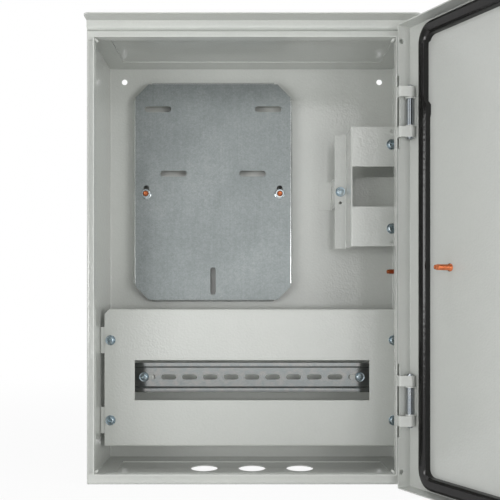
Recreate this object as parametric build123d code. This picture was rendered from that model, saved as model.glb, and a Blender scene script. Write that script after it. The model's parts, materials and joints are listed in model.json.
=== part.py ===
"""Sheet-metal meter and breaker enclosure for a wall, with its door standing open.

Millimetres. +X is to the right and +Y goes into the wall as one faces the box, +Z is up.
The origin lies on the back face, at the centre of the four wall holes.
"""

import math
import os

from build123d import *

# Sheet and bends
sheet = 1.2
bend = 2.5
tight_bend = 1.0
roof_bend = 3.5
paint_gap = 0.3
fit_gap = 0.05

# Body
body_width = 350.0
body_height = 483.0
body_depth = 130.0
gutter_left = 10.2
gutter_right = 25.4
gutter_end = 13.75
roof_drop = 2.3
lip_height = 11.0
weld_flange_side = 20.0
weld_flange_back = 26.0
wall_hole_radius = 3.5
wall_hole_inset_x = 18.5
wall_hole_inset_z = 20.5
entry_radius = 15.5
entry_pitch = 55.0
entry_depth = 73.0

# Rain hood
hood_rise = 9.9
hood_reach = 19.5
hood_base = 15.0
hood_bend = 4.5
hood_corner = 7.0

# Meter plate
plate_sheet = 1.5
plate_width = 192.0
plate_height = 265.2
plate_shift = 1.25
plate_roof_gap = 22.6
plate_standoff = 15.0
plate_corner = 20.5
plate_slot_width = 7.2
plate_slot_length = 32.0
top_slot_pitch = 133.5
top_slot_z = 100.1
middle_slot_pitch = 95.4
middle_slot_z = 22.2
foot_slot_z = -107.7
foot_slot_width = 6.4
foot_slot_length = 33.0
stud_pitch = 161.2
stud_slot_rise = 7.0
stud_drop = 2.6
plate_relief = 1.8

# Copper-plated studs and zinc nuts
stud_radius = 2.9
stud_base_radius = 4.0
stud_base = 0.8
stud_clearance = 0.6
nut_across_flats = 10.0
nut_height = 5.0
nut_washer_radius = 6.0
nut_washer = 1.2
stud_over_nut = 2.5
earth_stud_length = 20.0
earth_stud_depth = 64.0
earth_stud_rise = 7.35

# Wide cover with its window
cover_side_gap = 5.4
cover_height = 157.0
cover_floor_gap = 27.8
cover_depth = 65.2
cover_return = 10.0
cover_chamfer = 5.5
window_width = 268.0
window_height = 46.0
window_drop = 2.8
cover_screw_inset = 6.8
cover_screw_pitch = 91.4
tab_width = 18.0
tab_height = 30.0
tab_leg = 22.0

# Pan-head screws with a pressed washer
screw_radius = 2.0
screw_length = 9.0
screw_hole_clearance = 0.3
screw_head_radius = 4.3
screw_head_height = 2.6
screw_washer_radius = 5.8
screw_washer = 0.9

# Perforated rail
rail_length = 300.0
rail_height = 35.0
rail_web_height = 25.0
rail_lift = 7.5
rail_sheet = 1.0
rail_drop = 1.2
rail_standoff = 18.0
rail_slot_pitch = 25.0
rail_slot_count = 11
rail_slot_length = 18.0
rail_slot_width = 6.2
rail_screw_x = 129.8
support_width = 24.0
support_height = 30.0
support_foot = 12.0

# Small cover and its painted rail strip
box_width = 61.0
box_right_gap = 1.8
box_height = 134.0
box_roof_drop = 158.2
box_depth = 50.7
box_wall = 42.5
box_flange = 13.4
box_window_inset = 1.6
box_window_width = 54.0
box_window_height = 45.0
box_screw_inset = 15.4
box_screw_end = 19.85
box_seal_end = 5.0
box_flange_seal_drop = 13.0
seal_radius = 1.7
strip_height = 35.0
strip_foot = 16.5
strip_leg = 14.0

# Door
door_side_gap = 3.0
door_hinge_gap = 4.3
door_end_gap = 0.6
door_drop = 1.0
pan_depth = 15.9
pan_bend = 2.0
rim_gap = 3.4
relief_length = 76.0
relief_depth = 2.1
rim_hole_radius = 2.7
rim_hole_inset = 4.0
rim_hole_end = 17.0
open_angle = 120.0

# Hinges
pin_inset = 6.0
pin_lift = 5.5
pin_radius = 3.5
pin_over = 1.8
hinge_inset = 92.0
arm_height = 10.8
arm_pitch = 41.6
arm_sheet = 1.5
arm_bend = 3.0
arm_foot = 9.0
clip_sheet = 1.2
clip_reach = 5.0

# Gasket
gasket_width = 13.5
gasket_height = 8.0
gasket_corner = 21.5
gasket_side_inset = 1.0
gasket_top_inset = 3.9
gasket_bottom_inset = 2.4
gasket_hinge_width = 10.6
gasket_slope = 2.5

# Stud on the door
door_stud_inset = 57.0

# Quarter-turn lock
lock_inset = 33.0
lock_radius = 10.0
lock_flange_radius = 13.0
lock_flange = 2.5
lock_barrel = 19.0
lock_nut_flats = 26.0
lock_nut_height = 4.0
core_radius = 6.0
core_neck = 3.6
key_bar = 2.4
key_span = 8.0
key_depth = 7.0
cam_sheet = 2.5
cam_width = 18.0
cam_length = 32.0
cam_gap = 0.8
cam_screw_radius = 4.5
cam_screw_height = 2.5

# Places worked out from the sizes above
half_width = body_width / 2
half_height = body_height / 2
roof_z = half_height - roof_drop
wall_x = half_width - sheet
back_y = -sheet
front_y = -body_depth
left_lip_x = -half_width + gutter_left
right_lip_x = half_width - gutter_right
lip_z = half_height - gutter_end
hole_x = half_width - wall_hole_inset_x
hole_z = half_height - wall_hole_inset_z

pan_inside_right = half_width - door_hinge_gap - sheet
pan_outside_left = -half_width + door_side_gap
pan_half_height = half_height - door_end_gap
pan_face_y = front_y - rim_gap - pan_depth
hinge_x = pan_inside_right - pin_inset
hinge_y = pan_face_y + pin_lift
hinge_half_pitch = half_height - hinge_inset
hinge_zs = (hinge_half_pitch - door_drop, -hinge_half_pitch - door_drop)
arm_eye = pin_radius + fit_gap + arm_sheet
arm_leg_x = right_lip_x + sheet + fit_gap
arm_sweep = math.hypot(hinge_x - arm_leg_x - arm_bend, arm_eye - arm_bend) + arm_bend
lock_x = pan_outside_left + lock_inset
cam_y = front_y + sheet + cam_gap

box_right = wall_x - box_right_gap
box_left = box_right - box_width
box_z = roof_z - box_roof_drop
strip_riser_x = box_left - box_flange + sheet
strip_left = strip_riser_x - strip_foot
plate_x = (strip_left - wall_x) / 2 - plate_shift
plate_z = roof_z - plate_roof_gap - plate_height / 2
cover_z = -half_height + cover_floor_gap + cover_height / 2
window_z = cover_z - window_drop
rail_z = window_z - rail_drop
box_bottom = box_z - box_height / 2
cover_top = cover_z + cover_height / 2
earth_stud_z = (box_bottom + cover_top) / 2 + earth_stud_rise


def depth(distance):
    """Y of a plane that lies this far behind the gutter's front face."""
    return front_y + distance


def block(x_span, y_span, z_span):
    """Box between two corners, given as spans."""
    spans = (x_span, y_span, z_span)
    middle = [(low + high) / 2 for low, high in spans]
    size = [high - low for low, high in spans]
    return Pos(*middle) * Box(*size)


def folded(points, radii, thickness, plane, length, side=Side.LEFT):
    """Sheet folded along a path that lies on one of its faces, extruded both ways from the path's plane."""
    path = FilletPolyline(*points, radius=radii).wires()[0]
    start = Vector(*points[0])
    along = (Vector(*points[1]) - start).normalized()
    quarter_turn = 90 if side == Side.LEFT else -90
    within = start + (along + along.rotate(Axis.Z, quarter_turn)) * (thickness / 2)
    outlines = [path.offset_2d(thickness, side=way) for way in (Side.LEFT, Side.RIGHT)]
    faces = [make_face(outline.edges()).face() for outline in outlines]
    section = plane * next(face for face in faces if face.is_inside(within))
    return extrude(section, length / 2, both=True)


def across(span_x, width, through, centre, along=(0, 1, 0)):
    """Slot cutter with round ends, running along X and cutting along the given direction."""
    plane = Plane(centre, x_dir=(1, 0, 0), z_dir=along)
    return extrude(plane * SlotOverall(span_x, width), through, both=True)


def upright(span_z, width, through, centre):
    """Slot cutter with round ends, running along Z and cutting along Y."""
    plane = Plane(centre, x_dir=(0, 0, 1), z_dir=(0, 1, 0))
    return extrude(plane * SlotOverall(span_z, width), through, both=True)


def rod(radius, start, direction, length):
    """Cylinder from a point along a direction."""
    plane = Plane(start, z_dir=direction)
    return extrude(plane * Circle(radius), length)


def hexagon(across_flats, start, direction, length):
    """Hexagonal bar from a point along a direction."""
    plane = Plane(start, z_dir=direction)
    return extrude(plane * RegularPolygon(across_flats / math.sqrt(3), 6), length)


def group(pieces):
    """Separate solids kept together under one name."""
    return Compound(children=[solid for piece in pieces for solid in piece.solids()])


def opened(shape):
    """Door-side shape, modelled shut, swung to its open rest position."""
    hinge_line = Axis((hinge_x, hinge_y, 0), (0, 0, 1))
    return shape.rotate(hinge_line, open_angle)


# Body sheets


def make_shell():
    """Back, side walls, side gutters and lips folded from one sheet, with weld flanges for the end panels."""
    left_lip = left_lip_x - sheet
    right_lip = right_lip_x + sheet
    path = [
        (left_lip, front_y - lip_height),
        (left_lip, front_y),
        (-half_width, front_y),
        (-half_width, 0),
        (half_width, 0),
        (half_width, front_y),
        (right_lip, front_y),
        (right_lip, front_y - lip_height),
    ]
    radii = [tight_bend, bend, bend, bend, bend, tight_bend]
    low = -half_height + sheet
    high = roof_z - sheet
    shell = folded(path, radii, sheet, Plane.XY, high - low, Side.RIGHT)
    shell = Pos(0, 0, (low + high) / 2) * shell
    lip_zone = (front_y - lip_height - 1, front_y + bend)
    inner_x = wall_x - weld_flange_side
    inner_y = back_y - weld_flange_back
    for cut_z, flange_z in (
        ((-half_height, -lip_z), (low, low + sheet)),
        ((lip_z, half_height), (high - sheet, high)),
    ):
        shell -= block((-half_width + bend, left_lip_x + bend + sheet), lip_zone, cut_z)
        shell -= block((right_lip_x - bend - sheet, half_width - bend), lip_zone, cut_z)
        ring = block((-wall_x, wall_x), (front_y + roof_bend, back_y), flange_z)
        shell += ring - block((-inner_x, inner_x), (front_y, inner_y), flange_z)
    for x in (-hole_x, hole_x):
        for z in (-hole_z, hole_z):
            shell -= rod(wall_hole_radius, (x, sheet, z), (0, -1, 0), 3 * sheet)
    return shell


def make_end_panel(outer_z):
    """End sheet with its gutter and lip, drawn as the roof with its outer face at the given height."""
    path = [
        (0, outer_z),
        (front_y, outer_z),
        (front_y, lip_z + sheet),
        (front_y - lip_height, lip_z + sheet),
    ]
    roof = folded(path, [roof_bend, tight_bend], sheet, Plane.YZ, body_width)
    front_end = (front_y - lip_height - 1, front_y + bend)
    for x_span in ((-half_width, -half_width + bend), (half_width - bend, half_width)):
        roof -= block(x_span, front_end, (lip_z - 1, half_height))
    lip_zone = (front_y - lip_height - 1, front_y - tight_bend)
    for x_span in ((-half_width, left_lip_x - sheet), (right_lip_x + sheet, half_width)):
        roof -= block(x_span, lip_zone, (lip_z - 1, half_height))
    return roof


def make_bottom_panel():
    """Floor sheet: the roof turned over, with three cable entries."""
    panel = mirror(make_end_panel(half_height), about=Plane.XY)
    for index in (-1, 0, 1):
        start = (index * entry_pitch, depth(entry_depth), -half_height - sheet)
        panel -= rod(entry_radius, start, (0, 0, 1), 3 * sheet)
    return panel


def make_rain_hood():
    """Folded strip: base on the roof, a low upstand and a brim that covers the shut door."""
    underside = roof_z + hood_rise
    path = [
        (front_y + hood_base, roof_z),
        (front_y, roof_z),
        (front_y, underside),
        (front_y - hood_reach, underside),
    ]
    hood = folded(path, [hood_bend, tight_bend], sheet, Plane.YZ, body_width, Side.RIGHT)
    corners = hood.edges().filter_by(Axis.Z).group_by(Axis.Y)[0]
    return fillet(corners, hood_corner)


# Meter plate


def make_mounting_plate():
    """Galvanised tray with cut corners: folded-back edges, meter slots and upright slots for the studs."""
    face_y = back_y - plate_standoff
    half_w = plate_width / 2
    half_h = plate_height / 2
    x_span = (plate_x - half_w, plate_x + half_w)
    z_span = (plate_z - half_h, plate_z + half_h)
    tray = block(x_span, (face_y, back_y), z_span)
    rim = tray.faces().sort_by(Axis.Y)[0].edges()
    tray = fillet(rim, bend)
    inside_x = (x_span[0] + plate_sheet, x_span[1] - plate_sheet)
    inside_z = (z_span[0] + plate_sheet, z_span[1] - plate_sheet)
    tray -= block(inside_x, (face_y + plate_sheet, back_y), inside_z)
    corner = Rot(0, 45, 0) * Box(plate_corner * math.sqrt(2), 4 * plate_standoff, plate_corner * math.sqrt(2))
    notch = Box(2 * bend, 4 * plate_standoff, 2 * plate_relief)
    for x in x_span:
        for z in z_span:
            inward_x = math.copysign(plate_corner, plate_x - x)
            inward_z = math.copysign(plate_corner, plate_z - z)
            tray -= Pos(x, face_y, z) * corner
            tray -= Pos(x, face_y, z + inward_z) * notch
            tray -= Pos(x + inward_x, face_y, z) * Rot(0, 90, 0) * notch
    for pitch, rise in ((top_slot_pitch, top_slot_z), (middle_slot_pitch, middle_slot_z)):
        for side in (-1, 1):
            centre = (plate_x + side * pitch / 2, face_y, plate_z + rise)
            tray -= across(plate_slot_length, plate_slot_width, 2 * plate_sheet, centre)
    foot_slot = (plate_x, face_y, plate_z + foot_slot_z)
    tray -= upright(foot_slot_length, foot_slot_width, 2 * plate_sheet, foot_slot)
    slot_width = 2 * (stud_radius + stud_clearance)
    slot_length = slot_width + stud_slot_rise
    for x, z in plate_stud_places():
        tray -= upright(slot_length, slot_width, 2 * plate_sheet, (x, face_y, z + stud_slot_rise / 2))
    return tray


def plate_stud_places():
    """Centres of the two plate studs, as X and Z."""
    return [(plate_x + side * stud_pitch / 2, plate_z - stud_drop) for side in (-1, 1)]


def make_stud(start, direction, length):
    """Weld stud: a thin base disc and a shank with a chamfered tip."""
    shank = rod(stud_radius, start, direction, length)
    tip = shank.edges().filter_by(GeomType.CIRCLE).sort_by(Axis(start, direction))[-1]
    return chamfer(tip, stud_radius / 4) + rod(stud_base_radius, start, direction, stud_base)


def make_plate_studs():
    """Two studs on the back wall that carry the meter plate."""
    length = plate_standoff + nut_washer + nut_height + stud_over_nut
    return group([make_stud((x, back_y, z), (0, -1, 0), length) for x, z in plate_stud_places()])


def make_plate_nuts():
    """Two hexagonal nuts with pressed washers on the plate's face."""
    nuts = []
    for x, z in plate_stud_places():
        start = (x, back_y - plate_standoff, z)
        nut = rod(nut_washer_radius, start, (0, -1, 0), nut_washer)
        nut += hexagon(nut_across_flats, start, (0, -1, 0), nut_washer + nut_height)
        nut -= rod(stud_radius + fit_gap, start, (0, -1, 0), 3 * nut_height)
        nuts.append(nut)
    return group(nuts)


# Fasteners


def make_screw(x, face_y, z):
    """Pan-head screw with a pressed washer, its head in front of the given face."""
    washer_y = face_y - screw_washer
    head = rod(screw_head_radius, (x, washer_y, z), (0, -1, 0), screw_head_height)
    rim = head.edges().filter_by(GeomType.CIRCLE).sort_by(Axis.Y)[0]
    head = chamfer(rim, 0.4 * screw_head_height)
    head += rod(screw_washer_radius, (x, face_y, z), (0, -1, 0), screw_washer)
    return head + rod(screw_radius, (x, face_y, z), (0, 1, 0), screw_length)


def screw_hole(x, y, z):
    """Cutter for a screw hole through a sheet that faces the front."""
    reach = 2 * sheet
    return rod(screw_radius + screw_hole_clearance, (x, y + reach, z), (0, -1, 0), 2 * reach)


# Wide cover and rail


def cover_screw_places():
    """Centres of the wide cover's four screws, as X and Z."""
    x = wall_x - cover_side_gap - cover_screw_inset
    return [(side * x, window_z + end * cover_screw_pitch / 2) for side in (-1, 1) for end in (-1, 1)]


def make_lower_cover():
    """Wide plate with cut upper corners, folded-back top and bottom edges and a window for breakers."""
    half_w = wall_x - cover_side_gap
    bottom = cover_z - cover_height / 2
    face_y = depth(cover_depth) - sheet
    path = [
        (face_y + cover_return, bottom),
        (face_y, bottom),
        (face_y, cover_top),
        (face_y + cover_return, cover_top),
    ]
    cover = folded(path, tight_bend + sheet, sheet, Plane.YZ, 2 * half_w, Side.RIGHT)
    corner = Rot(0, 45, 0) * Box(cover_chamfer * math.sqrt(2), 4 * cover_return, cover_chamfer * math.sqrt(2))
    for x in (-half_w, half_w):
        cover -= Pos(x, face_y, cover_top) * corner
    cover -= Pos(0, face_y, window_z) * Box(window_width, 4 * sheet, window_height)
    for x, z in cover_screw_places():
        cover -= screw_hole(x, face_y, z)
    return cover


def make_tab(side, centre_z, face_depth, width):
    """Angle tab welded to a side wall: its face takes a cover screw, its leg lies on the wall."""
    face_y = depth(face_depth)
    path = [(side * (wall_x - width), face_y), (side * wall_x, face_y), (side * wall_x, face_y + tab_leg)]
    fold_side = Side.RIGHT if side < 0 else Side.LEFT
    tab = folded(path, tight_bend + sheet, sheet, Plane.XY, tab_height, fold_side)
    return Pos(0, 0, centre_z) * tab


def make_cover_tabs():
    """Four tabs behind the wide cover's screws."""
    tabs = []
    for x, z in cover_screw_places():
        tab = make_tab(math.copysign(1, x), z, cover_depth, tab_width)
        tabs.append(tab - screw_hole(x, depth(cover_depth), z))
    return group(tabs)


def make_cover_screws():
    """Four screws of the wide cover."""
    face_y = depth(cover_depth) - sheet
    return group([make_screw(x, face_y, z) for x, z in cover_screw_places()])


def make_din_rail():
    """Top-hat rail with its row of slots, the end slots taking the screws."""
    web_y = back_y - rail_standoff
    lip_y = web_y - rail_lift + rail_sheet
    half_web = rail_web_height / 2
    half_rail = rail_height / 2
    path = [
        (lip_y, -half_rail),
        (lip_y, -half_web),
        (web_y, -half_web),
        (web_y, half_web),
        (lip_y, half_web),
        (lip_y, half_rail),
    ]
    radii = [rail_sheet * 1.5, rail_sheet * 1.5, rail_sheet * 1.5, rail_sheet * 1.5]
    rail = Pos(0, 0, rail_z) * folded(path, radii, rail_sheet, Plane.YZ, rail_length)
    first = -(rail_slot_count - 1) / 2
    for index in range(rail_slot_count):
        centre = ((first + index) * rail_slot_pitch, web_y, rail_z)
        rail -= across(rail_slot_length, rail_slot_width, 2 * rail_sheet, centre)
    return rail


def make_rail_supports():
    """Two hat brackets that carry the rail off the back wall."""
    supports = []
    top_y = back_y - rail_standoff + sheet
    for side in (-1, 1):
        half = support_width / 2
        path = [
            (-half - support_foot, back_y),
            (-half, back_y),
            (-half, top_y),
            (half, top_y),
            (half, back_y),
            (half + support_foot, back_y),
        ]
        radii = [tight_bend, tight_bend + sheet, tight_bend + sheet, tight_bend]
        hat = folded(path, radii, sheet, Plane.XY, support_height, Side.RIGHT)
        hat = Pos(side * rail_screw_x, 0, rail_z) * hat
        supports.append(hat - screw_hole(side * rail_screw_x, top_y, rail_z))
    return group(supports)


def make_rail_screws():
    """Two screws that hold the rail's end slots."""
    face_y = back_y - rail_standoff - rail_sheet
    return group([make_screw(side * rail_screw_x, face_y, rail_z) for side in (-1, 1)])


# Small cover and its strip


def box_screw_places():
    """Centres of the small cover's two wall-side screws, as X and Z."""
    x = box_right - box_screw_inset
    return [(x, box_z + end * (box_height / 2 - box_screw_end)) for end in (-1, 1)]


def flange_screw_place():
    """Centre of the small cover's flange screw, as X and Z."""
    return (box_left - box_flange / 2, box_z)


def make_breaker_cover():
    """Sheet folded twice: flange, side wall and face, with a breaker window and holes for a seal wire."""
    face_y = depth(box_depth) - sheet
    flange_y = face_y + box_wall
    path = [
        (box_left - box_flange, flange_y),
        (box_left, flange_y),
        (box_left, face_y),
        (box_right, face_y),
    ]
    cover = folded(path, [tight_bend, tight_bend + sheet], sheet, Plane.XY, box_height, Side.LEFT)
    cover = Pos(0, 0, box_z) * cover
    window_x = box_left + box_window_inset + box_window_width / 2
    cover -= Pos(window_x, face_y, box_z) * Box(box_window_width, 4 * sheet, box_window_height)
    for x, z in box_screw_places():
        cover -= screw_hole(x, face_y, z)
        seal_z = box_z + math.copysign(box_height / 2 - box_seal_end, z - box_z)
        cover -= rod(seal_radius, (x, face_y + 2 * sheet, seal_z), (0, -1, 0), 4 * sheet)
    flange_x, flange_z_mid = flange_screw_place()
    cover -= screw_hole(flange_x, flange_y, flange_z_mid)
    seal_start = (flange_x, flange_y + 2 * sheet, flange_z_mid - box_flange_seal_drop)
    cover -= rod(seal_radius, seal_start, (0, -1, 0), 4 * sheet)
    return cover


def make_breaker_cover_tabs():
    """Two tabs on the right wall behind the small cover's face."""
    tabs = []
    for x, z in box_screw_places():
        tab = make_tab(1, z, box_depth, wall_x - x + cover_screw_inset)
        tabs.append(tab - screw_hole(x, depth(box_depth), z))
    return group(tabs)


def make_breaker_cover_screws():
    """Three screws of the small cover."""
    face_y = depth(box_depth) - sheet
    screws = [make_screw(x, face_y, z) for x, z in box_screw_places()]
    x, z = flange_screw_place()
    screws.append(make_screw(x, face_y + box_wall, z))
    return group(screws)


def make_aux_rail():
    """Painted strip folded as a rail: a foot on the back wall, a riser, a face and a leg on the side wall."""
    face_y = depth(box_depth) + box_wall + sheet
    path = [
        (strip_left, back_y),
        (strip_riser_x, back_y),
        (strip_riser_x, face_y),
        (wall_x - sheet, face_y),
        (wall_x - sheet, face_y + strip_leg),
    ]
    radii = [tight_bend + sheet, tight_bend, tight_bend]
    strip = Pos(0, 0, box_z) * folded(path, radii, sheet, Plane.XY, strip_height, Side.RIGHT)
    x, z = flange_screw_place()
    strip -= screw_hole(x, face_y, z)
    seal_start = (x, face_y + 2 * sheet, z - box_flange_seal_drop)
    return strip - rod(seal_radius, seal_start, (0, -1, 0), 4 * sheet)


def make_wall_earth_stud():
    """Stud for the earth wire on the right wall."""
    return make_stud((wall_x, depth(earth_stud_depth), earth_stud_z), (-1, 0, 0), earth_stud_length)


# Hinges


def make_hinge_leaf(z):
    """Body half of a hinge: a foot on the gutter and two goose-neck arms rolled round the pin."""
    top_y = hinge_y - arm_eye
    height = arm_pitch + arm_height
    path = [(arm_leg_x + arm_foot, front_y), (arm_leg_x, front_y), (arm_leg_x, top_y), (hinge_x, top_y)]
    radii = [tight_bend + arm_sheet, arm_bend]
    leaf = folded(path, radii, arm_sheet, Plane.XY, height)
    leaf += rod(arm_eye, (hinge_x, hinge_y, -height / 2), (0, 0, 1), height)
    leaf -= rod(pin_radius + fit_gap, (hinge_x, hinge_y, -height), (0, 0, 1), 2 * height)
    gap = arm_pitch - arm_height
    window_x = (arm_leg_x - 1, hinge_x + 2 * arm_eye)
    leaf -= block(window_x, (top_y - 1, front_y - arm_sheet), (-gap / 2, gap / 2))
    return Pos(0, 0, z) * leaf


def make_hinge_pin(z):
    """Hinge pin with chamfered ends that stand past the arms."""
    length = arm_pitch + arm_height + 2 * pin_over
    pin = rod(pin_radius, (hinge_x, hinge_y, z - length / 2), (0, 0, 1), length)
    return chamfer(pin.edges().filter_by(GeomType.CIRCLE), 0.3 * pin_radius)


def make_hinge_clip(z):
    """Door half of a hinge: a U of sheet on the door's face whose two ears turn on the pin."""
    height = arm_pitch - arm_height - 2 * paint_gap
    web_y = pan_face_y
    ear_y = hinge_y
    x_span = (hinge_x - clip_reach, hinge_x + clip_reach)
    clip = block(x_span, (web_y, ear_y), (-height / 2, height / 2))
    clip += rod(clip_reach, (hinge_x, ear_y, -height / 2), (0, 0, 1), height)
    inner = height / 2 - clip_sheet
    throat_y = (web_y + clip_sheet, ear_y + 2 * clip_reach)
    clip -= block((x_span[0] - 1, x_span[1] + 1), throat_y, (-inner, inner))
    clip -= rod(pin_radius + fit_gap, (hinge_x, hinge_y, -height), (0, 0, 1), 2 * height)
    return opened(Pos(0, 0, z) * clip)


# Door


def make_door():
    """Folded pan with welded corners, relief cuts for the hinges and small holes in its hinge-side rim."""
    rim_y = pan_face_y + pan_depth
    x_span = (pan_outside_left, pan_inside_right + sheet)
    z_span = (-pan_half_height, pan_half_height)
    pan = block(x_span, (pan_face_y - sheet, rim_y), z_span)
    pan = fillet(pan.edges().filter_by(Axis.Y), pan_bend)
    pan = fillet(pan.faces().sort_by(Axis.Y)[0].edges(), pan_bend)
    inside = block(
        (pan_outside_left + sheet, pan_inside_right),
        (pan_face_y, rim_y),
        (-pan_half_height + sheet, pan_half_height - sheet),
    )
    inside = fillet(inside.edges().filter_by(Axis.Y), pan_bend - sheet)
    pan -= fillet(inside.faces().sort_by(Axis.Y)[0].edges(), pan_bend - sheet)
    rim_x = (pan_inside_right - 1, pan_inside_right + 2 * sheet)
    for z in hinge_zs:
        low = z + door_drop - relief_length / 2
        pan -= block(rim_x, (rim_y - relief_depth, rim_y + 1), (low, low + relief_length))
    for side in (-1, 1):
        start = (rim_x[0], rim_y - rim_hole_inset, side * (pan_half_height - rim_hole_end))
        pan -= rod(rim_hole_radius, start, (1, 0, 0), 4 * sheet)
    pan = Pos(0, 0, -door_drop) * pan
    pan -= rod(lock_radius + fit_gap, (lock_x, pan_face_y + sheet, 0), (0, -1, 0), 4 * sheet)
    return opened(pan)


def make_door_gasket():
    """Foam frame on the door's face, narrower on the hinge side, where it keeps clear of the hinge arms."""
    left = pan_outside_left + sheet + gasket_side_inset
    right = hinge_x - arm_sweep - paint_gap
    top = pan_half_height - door_drop - sheet - gasket_top_inset
    bottom = -pan_half_height - door_drop + sheet + gasket_bottom_inset
    inner_left = left + gasket_width
    inner_right = right - gasket_hinge_width
    plane = Plane((0, pan_face_y, 0), x_dir=(1, 0, 0), z_dir=(0, 1, 0))
    middle_z = (top + bottom) / 2
    outer = Pos((left + right) / 2, -middle_z) * RectangleRounded(right - left, top - bottom, gasket_corner)
    inner_height = top - bottom - 2 * gasket_width
    inner = RectangleRounded(inner_right - inner_left, inner_height, gasket_corner - gasket_width)
    ring = outer - Pos((inner_left + inner_right) / 2, -middle_z) * inner
    frame = extrude(plane * ring, gasket_height)
    crest = frame.faces().sort_by(Axis.Y)[-1]
    return opened(chamfer(crest.edges(), gasket_slope))


def make_door_earth_stud():
    """Stud for the earth wire on the door's face."""
    start = (pan_inside_right - door_stud_inset, pan_face_y, earth_stud_z)
    return opened(make_stud(start, (0, 1, 0), earth_stud_length))


# Lock


def make_lock_housing():
    """Round lock body: a flange on the door's outside and a barrel through it, bored for the core."""
    outside_y = pan_face_y - sheet
    flange = rod(lock_flange_radius, (lock_x, outside_y, 0), (0, -1, 0), lock_flange)
    flange = chamfer(flange.edges().filter_by(GeomType.CIRCLE).sort_by(Axis.Y)[0], 0.4 * lock_flange)
    housing = flange + rod(lock_radius, (lock_x, outside_y, 0), (0, 1, 0), lock_barrel)
    front_y_lock = outside_y - lock_flange
    housing -= rod(core_radius + fit_gap, (lock_x, front_y_lock - 1, 0), (0, 1, 0), key_depth + 2)
    housing -= rod(core_neck + fit_gap, (lock_x, front_y_lock, 0), (0, 1, 0), 2 * lock_barrel)
    return opened(housing)


def make_lock_nut():
    """Flat hexagonal nut that clamps the lock to the door."""
    start = (lock_x, pan_face_y, 0)
    nut = hexagon(lock_nut_flats, start, (0, 1, 0), lock_nut_height)
    return opened(nut - rod(lock_radius + fit_gap, start, (0, 1, 0), 2 * lock_nut_height))


def make_lock_core():
    """Turning core: a head with a two-winged key pin in its recess, and a neck that carries the cam."""
    head_y = pan_face_y - sheet - lock_flange
    floor_y = head_y + key_depth
    head = rod(core_radius, (lock_x, head_y, 0), (0, 1, 0), key_depth + 1)
    head -= rod(core_radius - sheet, (lock_x, head_y - 1, 0), (0, 1, 0), key_depth)
    head += rod(key_bar, (lock_x, head_y + 1, 0), (0, 1, 0), key_depth)
    wing = block((-key_span / 2, key_span / 2), (head_y + 1, floor_y + 1), (-key_bar / 3, key_bar / 3))
    core = head + Pos(lock_x, 0, 0) * wing
    neck_end = cam_y + cam_sheet
    return opened(core + rod(core_neck, (lock_x, floor_y, 0), (0, 1, 0), neck_end - floor_y))


def make_lock_cam():
    """Cam plate, stored upright in the unlocked position."""
    plane = Plane((lock_x, cam_y, 0), x_dir=(1, 0, 0), z_dir=(0, 1, 0))
    outline = Circle(cam_width / 2)
    tip = cam_length - cam_width / 4
    outline += Pos(0, -tip / 2) * Rectangle(cam_width, tip)
    outline += Pos(0, -tip) * RectangleRounded(cam_width, cam_width / 2, cam_width / 5)
    cam = extrude(plane * outline, cam_sheet)
    cam -= rod(core_neck + fit_gap, (lock_x, cam_y - 1, 0), (0, 1, 0), 2 * cam_sheet)
    return opened(cam)


def make_lock_cam_screw():
    """Hexagonal screw head that holds the cam on the core."""
    start = (lock_x, cam_y + cam_sheet, 0)
    return opened(hexagon(2 * cam_screw_radius, start, (0, 1, 0), cam_screw_height))


def make_parts():
    """Every node of the enclosure, by name."""
    upper, lower = hinge_zs
    return {
        "shell": make_shell(),
        "top_panel": make_end_panel(roof_z),
        "bottom_panel": make_bottom_panel(),
        "rain_hood": make_rain_hood(),
        "mounting_plate": make_mounting_plate(),
        "plate_studs": make_plate_studs(),
        "plate_nuts": make_plate_nuts(),
        "lower_cover": make_lower_cover(),
        "cover_tabs": make_cover_tabs(),
        "cover_screws": make_cover_screws(),
        "din_rail": make_din_rail(),
        "rail_supports": make_rail_supports(),
        "rail_screws": make_rail_screws(),
        "breaker_cover": make_breaker_cover(),
        "breaker_cover_tabs": make_breaker_cover_tabs(),
        "breaker_cover_screws": make_breaker_cover_screws(),
        "aux_rail": make_aux_rail(),
        "wall_earth_stud": make_wall_earth_stud(),
        "upper_hinge_leaf": make_hinge_leaf(upper),
        "lower_hinge_leaf": make_hinge_leaf(lower),
        "upper_hinge_pin": make_hinge_pin(upper),
        "lower_hinge_pin": make_hinge_pin(lower),
        "door": make_door(),
        "door_gasket": make_door_gasket(),
        "upper_hinge_clip": make_hinge_clip(upper),
        "lower_hinge_clip": make_hinge_clip(lower),
        "door_earth_stud": make_door_earth_stud(),
        "lock_housing": make_lock_housing(),
        "lock_nut": make_lock_nut(),
        "lock_core": make_lock_core(),
        "lock_cam": make_lock_cam(),
        "lock_cam_screw": make_lock_cam_screw(),
    }


if __name__ == "__main__":
    os.makedirs("parts", exist_ok=True)
    for name, shape in make_parts().items():
        export_step(shape, os.path.join("parts", name + ".step"))
    hinge_text = f"{hinge_x:.3f}, {hinge_y:.3f}"
    print("hinge axis at X, Y", hinge_text)
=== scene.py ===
"""Looks of a wall enclosure whose gasketed door stands open: paint, plated metal, foam, fasteners and the studio."""

import json
import logging
import math
from collections.abc import Callable, Sequence
from dataclasses import dataclass
from enum import Enum
from itertools import pairwise

import bmesh
import bpy
from mathutils import Matrix, Vector


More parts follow.
